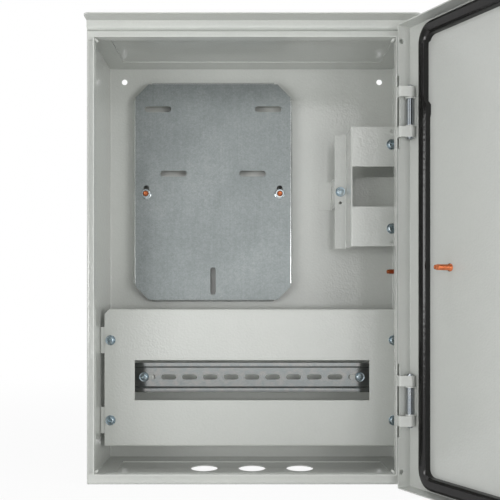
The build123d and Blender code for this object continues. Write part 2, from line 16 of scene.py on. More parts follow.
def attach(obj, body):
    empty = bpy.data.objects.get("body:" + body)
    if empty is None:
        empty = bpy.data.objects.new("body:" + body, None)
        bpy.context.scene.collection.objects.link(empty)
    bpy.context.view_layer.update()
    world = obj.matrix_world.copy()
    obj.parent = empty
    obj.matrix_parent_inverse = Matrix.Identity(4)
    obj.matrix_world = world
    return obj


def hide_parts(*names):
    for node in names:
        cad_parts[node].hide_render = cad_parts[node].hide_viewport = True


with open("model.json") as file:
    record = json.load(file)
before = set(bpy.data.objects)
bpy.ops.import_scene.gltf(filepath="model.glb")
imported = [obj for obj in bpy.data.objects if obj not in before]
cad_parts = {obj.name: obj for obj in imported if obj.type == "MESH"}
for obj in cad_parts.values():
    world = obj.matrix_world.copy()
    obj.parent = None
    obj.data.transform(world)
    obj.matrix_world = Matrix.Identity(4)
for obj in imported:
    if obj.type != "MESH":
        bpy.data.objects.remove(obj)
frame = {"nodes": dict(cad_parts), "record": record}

LOG = logging.getLogger("enclosure")
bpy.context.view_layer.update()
MM = 0.001
SAME_POINT = 1e-6
SLIVER = 5e-6
OPEN_DEGREES = 120.0
NOISE_MEAN = 0.5

Colour = tuple[float, float, float]
Point = tuple[float, float, float]
Span = tuple[float, float]
Profile = Sequence[Span]
Element = bmesh.types.BMVert | bmesh.types.BMEdge | bmesh.types.BMFace

BLACK: Colour = (0.0, 0.0, 0.0)
WHITE: Colour = (1.0, 1.0, 1.0)


class Body(Enum):
    """Moving bodies that a new piece rides on."""

    ENCLOSURE = "enclosure"
    DOOR = "door"


class Slot(Enum):
    """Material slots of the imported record."""

    PAINT = "grey_paint"
    ZINC = "zinc"
    GALVANISED = "galvanised"
    COPPER = "copper_plate"
    FOAM = "foam"
    LOCK = "lock_metal"


class Way(Enum):
    """Directions that fasteners point in at rest."""

    FRONT = (0.0, -1.0, 0.0)
    LEFT = (-1.0, 0.0, 0.0)
    DOOR_INSIDE = (-math.sin(math.radians(OPEN_DEGREES)), math.cos(math.radians(OPEN_DEGREES)), 0.0)


class Pick(Enum):
    """Kinds of mesh element that can be selected."""

    POINTS = "VERT"
    EDGES = "EDGE"
    FACES = "FACE"


class Join(Enum):
    """Ways to put a piece and a tool together."""

    ADD = "UNION"
    CUT = "DIFFERENCE"
    KEEP_COMMON = "INTERSECT"


class Blend(Enum):
    """Ways to blend two colours."""

    SHARE = "MIX"
    TIMES = "MULTIPLY"


class Value:
    """A number that varies over a surface; arithmetic on it adds Math nodes."""

    def __init__(self, graph: "Graph", socket: bpy.types.NodeSocket) -> None:
        """Wrap one output socket of a graph."""
        self.graph = graph
        self.socket = socket

    def _math(self, operation: str, first: "Value | float", second: "Value | float") -> "Value":
        """Add one Math node and return its result."""
        return self.graph.value("ShaderNodeMath", {"operation": operation}, {0: first, 1: second})

    def __add__(self, other: "Value | float") -> "Value":
        """Sum of two values."""
        return self._math("ADD", self, other)

    __radd__ = __add__

    def __mul__(self, other: "Value | float") -> "Value":
        """Product of two values."""
        return self._math("MULTIPLY", self, other)

    __rmul__ = __mul__

    def __sub__(self, other: "Value | float") -> "Value":
        """Difference of two values."""
        return self._math("SUBTRACT", self, other)

    def __rsub__(self, other: "Value | float") -> "Value":
        """Difference with this value taken away."""
        return self._math("SUBTRACT", other, self)

    def above(self, edge: float) -> "Value":
        """One where this value exceeds the edge, else zero."""
        return self._math("GREATER_THAN", self, edge)

    def sway(self, reach: float) -> "Value":
        """This noise about zero, scaled."""
        return (self - NOISE_MEAN) * reach

    def stretch(self, start: float, gain: float) -> "Value":
        """This noise counted from a start, with more contrast."""
        return (self - start) * gain


class Graph:
    """Node tree of one material or world."""

    def __init__(self, tree: bpy.types.NodeTree) -> None:
        """Start from an empty tree."""
        self.tree = tree
        tree.nodes.clear()

    def node(
        self,
        kind: str,
        settings: dict[str, object] | None = None,
        inputs: dict[str | int, object] | None = None,
    ) -> bpy.types.Node:
        """Add any node.

        Args:
            kind: Blender's name of the node type.
            settings: Properties that are set first; "stops" fills a colour ramp.
            inputs: Values or links of the node's sockets.

        Returns:
            The new node.
        """
        made = self.tree.nodes.new(kind)
        for key, value in (settings or {}).items():
            if key == "stops":
                self._fill_ramp(made.color_ramp, value)
            else:
                setattr(made, key, value)
        for key, value in (inputs or {}).items():
            self._feed(made.inputs[key], value)
        return made

    def value(
        self,
        kind: str,
        settings: dict[str, object] | None,
        inputs: dict[str | int, object],
        output: str | int = 0,
    ) -> Value:
        """Add any node and wrap one of its outputs."""
        return Value(self, self.node(kind, settings, inputs).outputs[output])

    def _feed(self, socket: bpy.types.NodeSocket, value: object) -> None:
        """Link or set one input socket.

        Args:
            socket: The input.
            value: A value or an output to link, or else a number, colour or vector to set.
        """
        if isinstance(value, Value):
            self.tree.links.new(value.socket, socket)
        elif isinstance(value, bpy.types.NodeSocket):
            self.tree.links.new(value, socket)
        elif isinstance(value, tuple) and len(value) == 3 and socket.type == "RGBA":
            socket.default_value = (*value, 1.0)
        else:
            socket.default_value = value

    @staticmethod
    def _fill_ramp(ramp: bpy.types.ColorRamp, stops: Sequence[tuple[float, Colour]]) -> None:
        """Give a colour ramp its stops.

        Args:
            ramp: The ramp.
            stops: Place and colour of each stop.
        """
        while len(ramp.elements) < len(stops):
            ramp.elements.new(1.0)
        for element, (place, colour) in zip(ramp.elements, stops):
            element.position = place
            element.color = (*colour, 1.0)

    def place(self, scale: Point = (1.0, 1.0, 1.0)) -> Value:
        """Object coordinates, stretched."""
        coords = self.node("ShaderNodeTexCoord").outputs["Object"]
        return self.value("ShaderNodeMapping", None, {"Vector": coords, "Scale": scale})

    def axis(self, kind: str, name: str) -> Value:
        """One axis of a texture coordinate."""
        source = self.node("ShaderNodeTexCoord").outputs[kind]
        return self.value("ShaderNodeSeparateXYZ", None, {0: source}, name)

    def noise(self, where: Value, scale: float, detail: float = 2.0, rough: float = 0.5) -> Value:
        """Smooth noise between about 0.3 and 0.7."""
        inputs = {"Vector": where, "Scale": scale, "Detail": detail, "Roughness": rough}
        return self.value("ShaderNodeTexNoise", None, inputs, "Fac")

    def fade(self, amount: Value, start: float, end: float, low: float = 0.0) -> Value:
        """Smooth change from low to one while an amount goes from start to end."""
        span = {"Value": amount, "From Min": start, "From Max": end, "To Min": low, "To Max": 1.0}
        return self.value("ShaderNodeMapRange", {"interpolation_type": "SMOOTHSTEP"}, span)

    def ramp(self, amount: Value, stops: Sequence[tuple[float, Colour]]) -> Value:
        """Colour picked from stops by an amount."""
        return self.value("ShaderNodeValToRGB", {"stops": stops}, {"Fac": amount}, "Color")

    def mix(self, amount: "Value | float", first: object, second: object, how: Blend = Blend.SHARE) -> Value:
        """Blend two colours.

        Args:
            amount: Share of the second colour.
            first: Colour where the share is zero.
            second: Colour where the share is one.
            how: Way to blend them.

        Returns:
            The blended colour.
        """
        made = self.node("ShaderNodeMix", {"data_type": "RGBA", "blend_type": how.value, "clamp_result": True})
        colours = [socket for socket in made.inputs if socket.type == "RGBA"]
        self._feed(made.inputs[0], amount)
        self._feed(colours[0], first)
        self._feed(colours[1], second)
        return Value(self, next(socket for socket in made.outputs if socket.type == "RGBA"))

    def bump(self, height: Value, strength: float, distance: float) -> Value:
        """Normal bent by a height."""
        inputs = {"Height": height, "Strength": strength, "Distance": distance}
        return self.value("ShaderNodeBump", None, inputs, "Normal")

    def surface(self, inputs: dict[str, object]) -> None:
        """Close the material with one principled shader."""
        shader = self.node("ShaderNodeBsdfPrincipled", None, inputs)
        self.node("ShaderNodeOutputMaterial", None, {"Surface": shader.outputs["BSDF"]})


@dataclass(frozen=True)
class Finish:
    """A named surface finish."""

    name: str

    def make(self) -> bpy.types.Material:
        """Build the material of this finish.

        Returns:
            The material, with its nodes filled.
        """
        material = bpy.data.materials.new(self.name)
        material.use_nodes = True
        self.shade(Graph(material.node_tree))
        return material

    def shade(self, graph: Graph) -> None:
        """Fill the material's nodes."""
        raise NotImplementedError


@dataclass(frozen=True)
class PowderCoat(Finish):
    """Light grey powder coat: glossy, with a pebbled orange peel and faint clouds of tone."""

    tone: Colour = (0.60, 0.615, 0.585)
    cloud_tone: Colour = (0.575, 0.592, 0.565)
    clouds_per_metre: float = 9.0
    peel_per_metre: float = 480.0
    peel_depth: float = 0.135 * MM
    peel_strength: float = 1.0
    peel_fleck: float = 0.03
    grain_ratio: float = 3.1
    grain_fleck: float = 0.10
    lightness: float = 0.97
    roughness: float = 0.075
    roughness_sway: float = 0.04
    refraction: float = 1.6

    def shade(self, graph: Graph) -> None:
        """Blend the clouds, fleck them and raise the peel.

        Args:
            graph: Node tree of the paint.
        """
        where = graph.place()
        cloud = graph.noise(where, self.clouds_per_metre, detail=4.0, rough=0.6)
        peel = graph.noise(where, self.peel_per_metre, detail=0.0)
        grain = graph.noise(where, self.peel_per_metre * self.grain_ratio, detail=1.0)
        tone = graph.mix(cloud.stretch(start=0.35, gain=3.0), self.tone, self.cloud_tone)
        fleck = peel.sway(self.peel_fleck) + grain.sway(self.grain_fleck) + self.lightness
        grey = graph.ramp(fleck, [(0.0, BLACK), (1.0, WHITE)])
        sway = grain.sway(self.roughness_sway) + cloud.sway(self.roughness_sway)
        graph.surface(
            {
                "Base Color": graph.mix(1.0, tone, grey, Blend.TIMES),
                "Roughness": sway + self.roughness,
                "Normal": graph.bump(peel, self.peel_strength, self.peel_depth),
                "IOR": self.refraction,
            }
        )


@dataclass(frozen=True)
class Galvanised(Finish):
    """Zinc-coated sheet: fine crystals, drifting tone, and bends that are smoother and carry a painted highlight."""

    dark: Colour = (0.155, 0.172, 0.172)
    mid: Colour = (0.225, 0.247, 0.247)
    light: Colour = (0.31, 0.333, 0.333)
    # Painted highlight: the light tone that the bends get, standing in for a reflection.
    bend_highlight_tone: Colour = (0.72, 0.74, 0.74)
    crystals_per_metre: float = 330.0
    fine_ratio: float = 2.3
    drifts_per_metre: float = 14.0
    rolling: Point = (700.0, 700.0, 18.0)
    # Range of the normal's Y over which the painted bend highlight fades in.
    bend_highlight_range: Span = (-0.9995, -0.985)
    metal: float = 0.85
    roughness: float = 0.36
    burnish: float = 0.16
    relief: float = 0.05 * MM

    def shade(self, graph: Graph) -> None:
        """Blend crystals, drift and rolling lines, and paint a highlight on the bends.

        Args:
            graph: Node tree of the sheet.
        """
        where = graph.place()
        coarse = self._crystal(graph, where, self.crystals_per_metre)
        fine = self._crystal(graph, where, self.crystals_per_metre * self.fine_ratio)
        drift = graph.noise(where, self.drifts_per_metre, detail=3.0, rough=0.6)
        lines = graph.noise(graph.place(self.rolling), 1.0, detail=2.0, rough=0.6)
        amount = coarse.sway(0.12) + fine.sway(0.22) + drift.sway(0.8) + lines.sway(0.22) + NOISE_MEAN
        tone = graph.ramp(amount, [(0.1, self.dark), (0.5, self.mid), (0.9, self.light)])
        # Painted highlight: where the normal turns away from the front, at the bends, the base colour is raised to a
        # light grey.
        bend_highlight = graph.fade(graph.axis("Normal", "Y"), *self.bend_highlight_range)
        graph.surface(
            {
                "Base Color": graph.mix(bend_highlight, tone, self.bend_highlight_tone),
                "Metallic": self.metal,
                "Roughness": coarse.sway(0.05) + drift.sway(0.1) + self.roughness - bend_highlight * self.burnish,
                "Normal": graph.bump(coarse * 0.3 + fine * 0.3 + lines * 0.4, 0.08, self.relief),
            }
        )

    @staticmethod
    def _crystal(graph: Graph, where: Value, scale: float) -> Value:
        """Random tone of each zinc crystal.

        Args:
            graph: Node tree of the sheet.
            where: Coordinates.
            scale: Crystals in a metre.

        Returns:
            One tone for each crystal.
        """
        cells = graph.node("ShaderNodeTexVoronoi", None, {"Vector": where, "Scale": scale, "Randomness": 1.0})
        parts = graph.node("ShaderNodeSeparateColor", None, {"Color": cells.outputs["Color"]})
        return Value(graph, parts.outputs[0])


@dataclass(frozen=True)
class Plated(Finish):
    """Bright plated steel: a tint that drifts a little, and fine tool marks."""

    tone: Colour = (0.50, 0.57, 0.63)
    drift_tone: Colour = (0.62, 0.63, 0.58)
    metal: float = 1.0
    roughness: float = 0.26
    drifts_per_metre: float = 170.0
    scuffs_per_metre: float = 1500.0
    scuff_depth: float = 0.03 * MM

    def shade(self, graph: Graph) -> None:
        """Blend the two tints and scuff the surface.

        Args:
            graph: Node tree of the plating.
        """
        where = graph.place()
        drift = graph.noise(where, self.drifts_per_metre, detail=3.0, rough=0.6)
        scuff = graph.noise(where, self.scuffs_per_metre, detail=2.0, rough=0.6)
        graph.surface(
            {
                "Base Color": graph.mix(drift.stretch(start=0.38, gain=3.5), self.tone, self.drift_tone),
                "Metallic": self.metal,
                "Roughness": scuff.sway(0.12) + self.roughness,
                "Normal": graph.bump(scuff, 0.10, self.scuff_depth),
            }
        )


@dataclass(frozen=True)
class FoamSkin(Finish):
    """Black poured foam: a skin with a dull gloss over fine pores."""

    tone: Colour = (0.0022, 0.0018, 0.0017)
    pore_tone: Colour = (0.005, 0.0042, 0.0038)
    pores_per_metre: float = 900.0
    ripples_per_metre: float = 330.0
    ripple_depth: float = 0.35 * MM
    roughness: float = 0.17
    gloss: float = 0.42

    def shade(self, graph: Graph) -> None:
        """Tint the pores and ripple the skin.

        Args:
            graph: Node tree of the foam.
        """
        where = graph.place()
        pores = graph.noise(where, self.pores_per_metre, detail=2.0, rough=0.6)
        ripple = graph.noise(where, self.ripples_per_metre, detail=0.0)
        graph.surface(
            {
                "Base Color": graph.mix(pores.stretch(start=0.4, gain=3.0), self.tone, self.pore_tone),
                "Roughness": pores.sway(0.1) + self.roughness,
                "Specular IOR Level": self.gloss,
                "Normal": graph.bump(ripple, 0.3, self.ripple_depth),
            }
        )


class Bench:
    """Modelling steps shared by the new pieces, each done with Blender's own operators."""

    @staticmethod
    def clear() -> None:
        """Leave edit mode and deselect everything."""
        if bpy.context.object and bpy.context.object.mode != "OBJECT":
            bpy.ops.object.mode_set(mode="OBJECT")
        bpy.ops.object.select_all(action="DESELECT")

    @classmethod
    def hold(cls, obj: bpy.types.Object) -> None:
        """Make one object the only selected and active one.

        Args:
            obj: The object.
        """
        cls.clear()
        obj.select_set(True)
        bpy.context.view_layer.objects.active = obj

    @classmethod
    def edit(cls, obj: bpy.types.Object) -> None:
        """Open one object in edit mode with nothing selected, ready to pick points.

        Args:
            obj: The object.
        """
        cls.hold(obj)
        bpy.ops.object.mode_set(mode="EDIT")
        bpy.ops.mesh.select_mode(type=Pick.POINTS.value)
        bpy.ops.mesh.select_all(action="DESELECT")

    @staticmethod
    def done() -> None:
        """Close edit mode."""
        bpy.ops.object.mode_set(mode="OBJECT")

    @staticmethod
    def pick(obj: bpy.types.Object, kind: Pick, wanted: Callable[[Element], bool]) -> None:
        """Select the elements of an open mesh that pass a test.

        Args:
            obj: The object, open in edit mode.
            kind: Kind of element.
            wanted: The test.
        """
        bpy.ops.mesh.select_mode(type=kind.value)
        mesh = bmesh.from_edit_mesh(obj.data)
        elements = {Pick.POINTS: mesh.verts, Pick.EDGES: mesh.edges, Pick.FACES: mesh.faces}
        for element in elements[kind]:
            element.select_set(bool(wanted(element)))
        mesh.select_flush_mode()
        bmesh.update_edit_mesh(obj.data)

    @classmethod
    def trace(cls, name: str, profile: Profile) -> bpy.types.Object:
        """Draw a profile in the XZ plane, point after point.

        Args:
            name: Name of the new object.
            profile: Radius and height of each point, in metres.

        Returns:
            The object, open in edit mode with the whole profile selected.
        """
        cls.clear()
        bpy.ops.mesh.primitive_plane_add(size=MM)
        obj = bpy.context.object
        obj.name = name
        cls.edit(obj)
        bpy.ops.mesh.select_all(action="SELECT")
        bpy.ops.mesh.merge(type="CENTER")
        bpy.ops.transform.translate(value=(profile[0][0], 0, profile[0][1]))
        for (start_r, start_z), (end_r, end_z) in pairwise(profile):
            step = (end_r - start_r, 0, end_z - start_z)
            bpy.ops.mesh.extrude_vertices_move(TRANSFORM_OT_translate={"value": step})
        bpy.ops.mesh.select_all(action="SELECT")
        return obj

    @classmethod
    def lathe(cls, name: str, profile: Profile, steps: int) -> bpy.types.Object:
        """Turn a profile about Z into a closed solid.

        Args:
            name: Name of the new object.
            profile: Radius and height of each point, from axis to axis, in metres.
            steps: Flats round the axis.

        Returns:
            The solid.
        """
        obj = cls.trace(name, profile)
        bpy.ops.mesh.spin(steps=steps, angle=2 * math.pi, center=(0, 0, 0), axis=(0, 0, 1))
        cls.tidy_open_mesh()
        cls.done()
        return obj

    @staticmethod
    def tidy_open_mesh() -> None:
        """Merge doubles and turn the faces of an open mesh outwards."""
        bpy.ops.mesh.select_all(action="SELECT")
        bpy.ops.mesh.remove_doubles(threshold=SAME_POINT)
        bpy.ops.mesh.normals_make_consistent(inside=False)

    @classmethod
    def combine(cls, obj: bpy.types.Object, tool: bpy.types.Object, how: Join) -> None:
        """Apply a Boolean with a tool, remove the tool and clear slivers away.

        Args:
            obj: The piece.
            tool: The other solid.
            how: Way to put them together.
        """
        cls.hold(obj)
        bpy.ops.object.modifier_add(type="BOOLEAN")
        step = obj.modifiers[-1]
        step.operation = how.value
        step.solver = "EXACT"
        step.object = tool
        bpy.ops.object.modifier_apply(modifier=step.name)
        bpy.data.objects.remove(tool)
        cls.edit(obj)
        bpy.ops.mesh.select_all(action="SELECT")
        bpy.ops.mesh.dissolve_degenerate(threshold=SLIVER)
        cls.tidy_open_mesh()
        cls.done()

    @classmethod
    def copies(cls, obj: bpy.types.Object, places: Sequence[Matrix], name: str) -> bpy.types.Object:
        """Set copies of a piece in place and join them.

        Args:
            obj: The piece, modelled at the origin.
            places: One matrix for each copy.
            name: Name of the joined piece.

        Returns:
            One object at the origin, with its places in its mesh.
        """
        twins = []
        for place in places:
            twin = obj.copy()
            twin.data = obj.data.copy()
            twin.data.transform(place)
            bpy.context.scene.collection.objects.link(twin)
            twins.append(twin)
        bpy.data.objects.remove(obj)
        cls.hold(twins[0])
        for twin in twins:
            twin.select_set(True)
        bpy.ops.object.join()
        twins[0].name = name
        return twins[0]

    @classmethod
    def smooth(cls, obj: bpy.types.Object, degrees: float) -> None:
        """Shade smooth except at edges sharper than an angle."""
        cls.hold(obj)
        bpy.ops.object.shade_smooth_by_angle(angle=math.radians(degrees))

    @staticmethod
    def dress(
        obj: bpy.types.Object,
        material: bpy.types.Material,
        body: Body,
        slot: Slot,
        stands_for: Sequence[str] = (),
    ) -> bpy.types.Object:
        """Give a finished piece its material, its body and the nodes it stands for.

        Args:
            obj: The piece.
            material: Its finish.
            body: Body that it rides on.
            slot: Its material slot in the record; not used.
            stands_for: CAD nodes that it replaces.

        Returns:
            The same piece.
        """
        obj.data.materials.clear()
        obj.data.materials.append(material)
        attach(obj, body.value)
        if stands_for:
            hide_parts(*stands_for)
        LOG.info("%s: %d faces, rides on %s", obj.name, len(obj.data.polygons), body.value)
        return obj


def solids(node: str) -> list[list[Vector]]:
    """Points of each separate solid of a CAD node.

    Args:
        node: Name of the node.

    Returns:
        One list of points for each solid, in the order left to right, then bottom to top.
    """
    mesh = bmesh.new()
    mesh.from_mesh(frame["nodes"][node].data)
    bmesh.ops.remove_doubles(mesh, verts=mesh.verts, dist=SAME_POINT)
    groups, waiting = [], set(mesh.verts)
    while waiting:
        group, edge = [], [waiting.pop()]
        while edge:
            point = edge.pop()
            group.append(point.co.copy())
            linked = {other for side in point.link_edges for other in side.verts} & waiting
            waiting -= linked
            edge.extend(linked)
        groups.append(group)
    mesh.free()
    return sorted(groups, key=lambda group: (round(min(p.x for p in group), 4), round(min(p.z for p in group), 4)))


def centre_line(points: Sequence[Vector], way: Way) -> tuple[Vector, Vector]:
    """Centre line of a fastener.

    Args:
        points: Points of the fastener's solid.
        way: Direction that it points in.

    Returns:
        Back end and front end of the line.
    """
    axis, up = Vector(way.value), Vector((0, 0, 1))
    middle = Vector()
    for across in (axis.cross(up), up):
        reach = [point.dot(across) for point in points]
        middle += across * (min(reach) + max(reach)) / 2
    along = [point.dot(axis) for point in points]
    return middle + axis * min(along), middle + axis * max(along)


def facing(way: Way, place: Vector, turn: float = 0.0) -> Matrix:
    """Matrix that spins a piece by degrees, turns its +Z to a direction and moves it to a place."""
    aim = Vector(way.value).to_track_quat("Z", "Y").to_matrix().to_4x4()
    return Matrix.Translation(place) @ aim @ Matrix.Rotation(math.radians(turn), 4, "Z")


@dataclass
class PanScrews:
    """Zinc-plated pan-head screws with a pressed washer and a cross recess."""

    node: str
    name: str
    flats: int = 44
    washer_radius: float = 5.8 * MM
    washer: float = 0.9 * MM
    lower_edge: Span = (0.25 * MM, 0.22 * MM)
    upper_edge: Span = (0.35 * MM, 0.3 * MM)
    dish_rim: float = 0.5 * MM
    dish_share: float = 0.8
    head_radius: float = 4.1 * MM
    head: float = 2.2 * MM
    dome: Profile = ((1.0, 0.5), (0.985, 0.68), (0.94, 0.82), (0.86, 0.91), (0.74, 0.96), (0.5, 0.99))
    stand: float = 3.5 * MM
    shank_radius: float = 2.0 * MM
    shank: float = 9.0 * MM
    tip: float = 0.6 * MM
    tip_share: float = 0.7
    cross_span: float = 6.6 * MM
    cross_width: float = 2.0 * MM
    cross_depth: float = 2.6 * MM
    cross_taper: Point = (0.5, 0.8, 1.0)
    turns: tuple[float, ...] = (20.0, -33.0, 50.0, 8.0)

    @property
    def crown(self) -> float:
        """Height of the head's top above the seat."""
        return self.washer + self.head

    def build(self) -> bpy.types.Object:
        """Model one screw, cut its recess and copy it to every place of the node.

        Returns:
            The set of screws.
        """
        screw = Bench.lathe(self.name, self._profile(), self.flats)
        for turn in (0.0, math.pi / 2):
            Bench.combine(screw, self._bar(turn), Join.CUT)
        Bench.smooth(screw, 32.0)
        places = []
        for index, points in enumerate(solids(self.node)):
            seat = centre_line(points, Way.FRONT)[1] - Vector(Way.FRONT.value) * self.stand
            places.append(facing(Way.FRONT, seat, self.turns[index % len(self.turns)]))
        return Bench.copies(screw, places, self.name)

    def _profile(self) -> Profile:
        """Half outline of the screw, from its tip to the crown.

        Returns:
            Radius and height of each point.
        """
        lower_in, lower_up = self.lower_edge
        upper_in, upper_down = self.upper_edge
        dish = self.washer * self.dish_share
        return [
            (0.0, -self.shank),
            (self.shank_radius * self.tip_share, -self.shank),
            (self.shank_radius, -self.shank + self.tip),
            (self.shank_radius, 0.0),
            (self.washer_radius - lower_in, 0.0),
            (self.washer_radius, lower_up),
            (self.washer_radius, self.washer - upper_down),
            (self.washer_radius - upper_in, self.washer),
            (self.head_radius + self.dish_rim, dish),
            (self.head_radius, dish),
            *((self.head_radius * out, self.washer + self.head * up) for out, up in self.dome),
            (0.0, self.crown),
        ]

    def _bar(self, turn: float) -> bpy.types.Object:
        """Tapered bar that cuts one arm of the cross.

        Args:
            turn: Angle of the arm in radians.

        Returns:
            The bar, half sunk in the crown.
        """
        Bench.clear()
        bpy.ops.mesh.primitive_cube_add(size=1.0)
        bar = bpy.context.object
        Bench.edit(bar)
        bpy.ops.mesh.select_all(action="SELECT")
        bpy.ops.transform.resize(value=(self.cross_span, self.cross_width, 2 * self.cross_depth))
        Bench.pick(bar, Pick.FACES, lambda face: face.normal.z < -0.9)
        bpy.ops.transform.resize(value=self.cross_taper)
        Bench.done()
        bar.data.transform(Matrix.Translation((0, 0, self.crown)) @ Matrix.Rotation(turn, 4, "Z"))
        return bar

    def dress(self, material: bpy.types.Material) -> None:
        """Build the screws and put them on the enclosure."""
        Bench.dress(self.build(), material, Body.ENCLOSURE, Slot.ZINC, [self.node])


@dataclass
class FlangeNuts:
    """Hexagonal nuts on pressed washers that hold the meter plate."""

    node: str = "plate_nuts"
    flats: float = 10.0 * MM
    height: float = 5.0 * MM
    spare: float = 1.0 * MM
    chamfer: float = 1.0 * MM
    face_share: float = 0.93
    washer_radius: float = 6.0 * MM
    washer: float = 1.2 * MM
    bore: float = 2.95 * MM
    sink: float = 0.6 * MM
    sink_past: float = 0.3 * MM
    sink_rim: float = 0.9 * MM
    turns: tuple[float, ...] = (12.0, 35.0)

    @property
    def corner(self) -> float:
        """Radius over the corners."""
        return self.flats / math.sqrt(3)

    @property
    def top(self) -> float:
        """Height of the nut's face above the plate."""
        return self.washer + self.height

    def build(self) -> bpy.types.Object:
        """Model one nut with chamfered corners and copy it to both studs.

        Returns:
            The pair of nuts.
        """
        nut = self._hexagon()
        Bench.combine(nut, Bench.lathe("nut_cone", self._cone(), 48), Join.KEEP_COMMON)
        Bench.combine(nut, Bench.lathe("nut_washer", self._dished_washer(), 48), Join.ADD)
        Bench.combine(nut, Bench.lathe("nut_bore", self._hole(), 32), Join.CUT)
        Bench.smooth(nut, 25.0)
        places = []
        for points, turn in zip(solids(self.node), self.turns, strict=True):
            places.append(facing(Way.FRONT, centre_line(points, Way.FRONT)[0], turn))
        return Bench.copies(nut, places, "plate_nut_pair")

    def _hexagon(self) -> bpy.types.Object:
        """Plain hexagon, with some height to spare.

        Returns:
            The hexagon, standing on the washer's level.
        """
        Bench.clear()
        depth = self.height + self.spare
        middle = (0, 0, self.washer + depth / 2)
        bpy.ops.mesh.primitive_cylinder_add(vertices=6, radius=self.corner, depth=depth, location=middle)
        nut = bpy.context.object
        Bench.hold(nut)
        bpy.ops.object.transform_apply(location=True, rotation=True, scale=True)
        return nut

    def _cone(self) -> Profile:
        """Half outline of the solid that cuts the upper corners off.

        Returns:
            Radius and height of each point.
        """
        wide = self.corner * 1.1
        face = self.flats / 2 * self.face_share
        return [(0.0, 0.0), (wide, 0.0), (wide, self.top - self.chamfer), (face, self.top), (0.0, self.top)]

    def _dished_washer(self) -> Profile:
        """Half outline of the washer.

        Returns:
            Radius and height of each point.
        """
        rim = self.washer_radius
        return [
            (0.0, 0.0),
            (rim - 0.3 * MM, 0.0),
            (rim, 0.25 * MM),
            (rim - 0.1 * MM, self.washer * 0.5),
            (self.flats * 0.4, self.washer * 1.02),
            (0.0, self.washer * 1.15),
        ]

    def _hole(self) -> Profile:
        """Half outline of the countersunk bore, which reaches past both ends.

        Returns:
            Radius and height of each point.
        """
        past = self.top + self.sink_past
        return [
            (0.0, -MM),
            (self.bore, -MM),
            (self.bore, self.top - self.sink),
            (self.bore + self.sink_rim, past),
            (0.0, past),
        ]

    def dress(self, material: bpy.types.Material) -> None:
        """Build the nuts and put them on the enclosure."""
        Bench.dress(self.build(), material, Body.ENCLOSURE, Slot.ZINC, [self.node])


@dataclass
class ThreadedStuds:
    """Copper-flashed weld studs with a rolled thread, a base disc and a chamfered point."""

    node: str
    name: str
    body: Body
    way: Way
    length: float
    flats: int = 28
    radius: float = 2.9 * MM
    pitch: float = 1.0 * MM
    tooth: float = 0.55 * MM
    tooth_heights: tuple[float, ...] = (0.0, 0.12, 0.45, 0.57, 1.0)
    thread_steps: int = 18
    runout: float = 1.4 * MM
    plain: float = 2.2 * MM
    point_step: float = 0.5 * MM
    chamfer: float = 0.6 * MM
    dimple: float = 1.2 * MM
    dimple_share: float = 0.5
    base_radius: float = 4.0 * MM
    base: float = 0.8 * MM
    base_edge_share: float = 0.6
    fillet_share: float = 1.8
    fillet_step: float = 0.05 * MM

    def build(self) -> bpy.types.Object:
        """Model one stud along Z and copy it to every place of the node.

        Returns:
            The studs of this node.
        """
        stud = self._thread()
        Bench.combine(stud, Bench.lathe("stud_point", self._point(), self.flats), Join.ADD)
        Bench.combine(stud, Bench.lathe("stud_foot", self._foot(), self.flats), Join.ADD)
        Bench.smooth(stud, 25.0)
        places = [facing(self.way, centre_line(points, self.way)[0]) for points in solids(self.node)]
        return Bench.copies(stud, places, self.name)

    def _point(self) -> Profile:
        """Half outline of the plain, chamfered and dimpled point.

        Returns:
            Radius and height of each point.
        """
        core = self.radius - self.point_step
        low = self.length - self.plain - self.pitch
        return [
            (0.0, low),
            (core, low),
            (core, self.length - self.chamfer),
            (core - self.chamfer, self.length),
            (self.dimple, self.length),
            (0.0, self.length - self.dimple * self.dimple_share),
        ]

    def _foot(self) -> Profile:
        """Half outline of the base disc and its weld fillet.

        Returns:
            Radius and height of each point.
        """
        fillet = self.base * self.fillet_share
        return [
            (0.0, 0.0),
            (self.base_radius, 0.0),
            (self.base_radius, self.base * self.base_edge_share),
            (self.radius + self.fillet_step, fillet),
            (0.0, fillet),
        ]

    def _thread(self) -> bpy.types.Object:
        """Helical thread, closed at both ends by a fan of faces.

        Returns:
            The thread.
        """
        core = self.radius - self.tooth
        radii = (core, core, self.radius, self.radius, core)
        ridge = [(out, up * self.pitch) for out, up in zip(radii, self.tooth_heights)]
        stud = Bench.trace("stud_thread", ridge)
        Bench.done()
        Bench.hold(stud)
        bpy.ops.object.modifier_add(type="SCREW")
        step = stud.modifiers[-1]
        step.axis = "Z"
        step.angle = 2 * math.pi
        step.screw_offset = self.pitch
        step.iterations = int((self.length - self.runout) / self.pitch) - 1
        step.steps = self.thread_steps
        step.render_steps = self.thread_steps
        step.use_merge_vertices = True
        step.merge_threshold = SAME_POINT
        bpy.ops.object.modifier_apply(modifier=step.name)
        Bench.edit(stud)
        Bench.tidy_open_mesh()
        for end in (-1, 1):
            self._close_end(stud, end)
        Bench.tidy_open_mesh()
        Bench.done()
        return stud

    def _close_end(self, stud: bpy.types.Object, end: int) -> None:
        """Draw one open rim of the thread together to a point.

        Args:
            stud: The thread, open in edit mode.
            end: Minus one for the lower rim, one for the upper.
        """
        half = self.length / 2
        Bench.pick(stud, Pick.EDGES, lambda edge: edge.is_boundary and end * (edge.verts[0].co.z - half) > 0)
        bpy.ops.mesh.extrude_edges_move()
        bpy.ops.mesh.merge(type="CENTER")

    def dress(self, material: bpy.types.Material) -> None:
        """Build the studs and put them on their body."""
        Bench.dress(self.build(), material, self.body, Slot.COPPER, [self.node])


